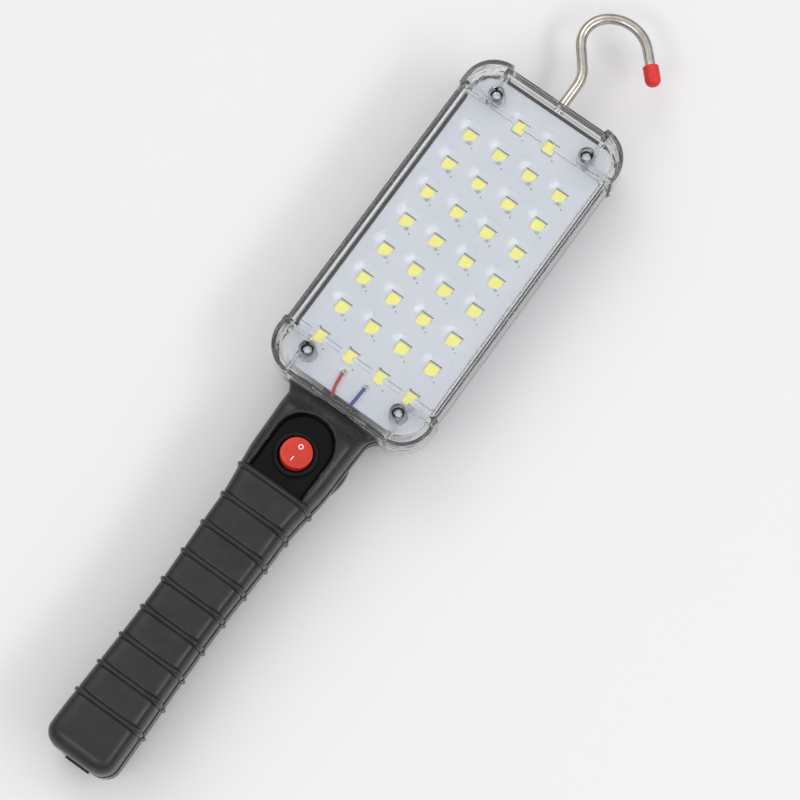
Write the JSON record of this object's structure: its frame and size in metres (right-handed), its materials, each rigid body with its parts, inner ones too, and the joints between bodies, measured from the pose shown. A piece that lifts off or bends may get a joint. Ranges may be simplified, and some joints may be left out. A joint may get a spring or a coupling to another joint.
{
  "type": "work light",
  "caption": "Hand-held rechargeable LED work light with a clear flat head, ribbed handle, rocker switch, back magnet and swivelling wire hook.",
  "frame": {"origin": "on the resting plane, under the middle of the overall box", "axes": "+X across, +Y from the handle's end to the hook, +Z the way the LEDs face"},
  "size_m": [0.074, 0.374, 0.0362],
  "materials": {
    "clear_plastic": "clear moulded polycarbonate, polished",
    "black_plastic": "satin black moulded ABS",
    "board": "white solder mask on an aluminium board",
    "led": "white package with yellow phosphor",
    "steel": "bright nickel-plated steel",
    "red_rocker": "glossy red with white switch marks",
    "red_vinyl": "soft red vinyl",
    "blue_vinyl": "blue wire insulation",
    "black_vinyl": "black wire insulation",
    "brass": "plain brass",
    "rubber": "black rubber",
    "ferrite": "nickel-plated magnet",
    "cell_wrap": "blue shrink wrap",
    "circuit_board": "green solder mask"
  },
  "bodies": {
    "housing": {"front_cover": "clear_plastic", "head_rear_shell": "clear_plastic", "handle_front_shell": "black_plastic", "handle_rear_shell": "black_plastic", "switch_housing": "black_plastic", "magnet_cup": "black_plastic", "led_board": "board", "led_row_1": "led", "led_row_2": "led", "led_row_3": "led", "led_row_4": "led", "led_row_5": "led", "led_row_6": "led", "led_row_7": "led", "led_row_8": "led", "led_row_9": "led", "magnet_screw": "steel", "battery_tab_positive": "steel", "battery_tab_negative": "steel", "usb_socket": "steel", "cover_screw_1": "steel", "cover_screw_2": "steel", "cover_screw_3": "steel", "cover_screw_4": "steel", "handle_screw_1": "steel", "handle_screw_2": "steel", "handle_screw_3": "steel", "handle_screw_4": "steel", "wire_red_lamp": "red_vinyl", "wire_red_supply": "red_vinyl", "battery_lead_positive": "red_vinyl", "wire_blue_lamp": "blue_vinyl", "battery_lead_negative": "black_vinyl", "switch_terminal_1": "brass", "switch_terminal_2": "brass", "cable_grommet": "rubber", "seal_left": "rubber", "seal_right": "rubber", "seal_hook_end": "rubber", "screw_seal_1": "rubber", "screw_seal_2": "rubber", "screw_seal_3": "rubber", "screw_seal_4": "rubber", "magnet_ring": "ferrite", "battery_cell": "cell_wrap", "charge_board": "circuit_board"},
    "hook": {"hook_wire": "steel", "hook_tip_cap": "red_vinyl", "hook_washer": "steel"},
    "rocker": {"switch_rocker": "red_rocker"}
  },
  "joints": [
    {"name": "hook_swivel", "type": "hinge", "parent": "housing", "child": "hook", "pos_m": [0, 0.13814, 0.0133], "axis": [0, 1, 0], "continuous": true},
    {"name": "rocker_press", "type": "hinge", "parent": "housing", "child": "rocker", "pos_m": [0, -0.04156, 0.0314], "axis": [1, 0, 0], "range_deg": [0, 20]}
  ]
}
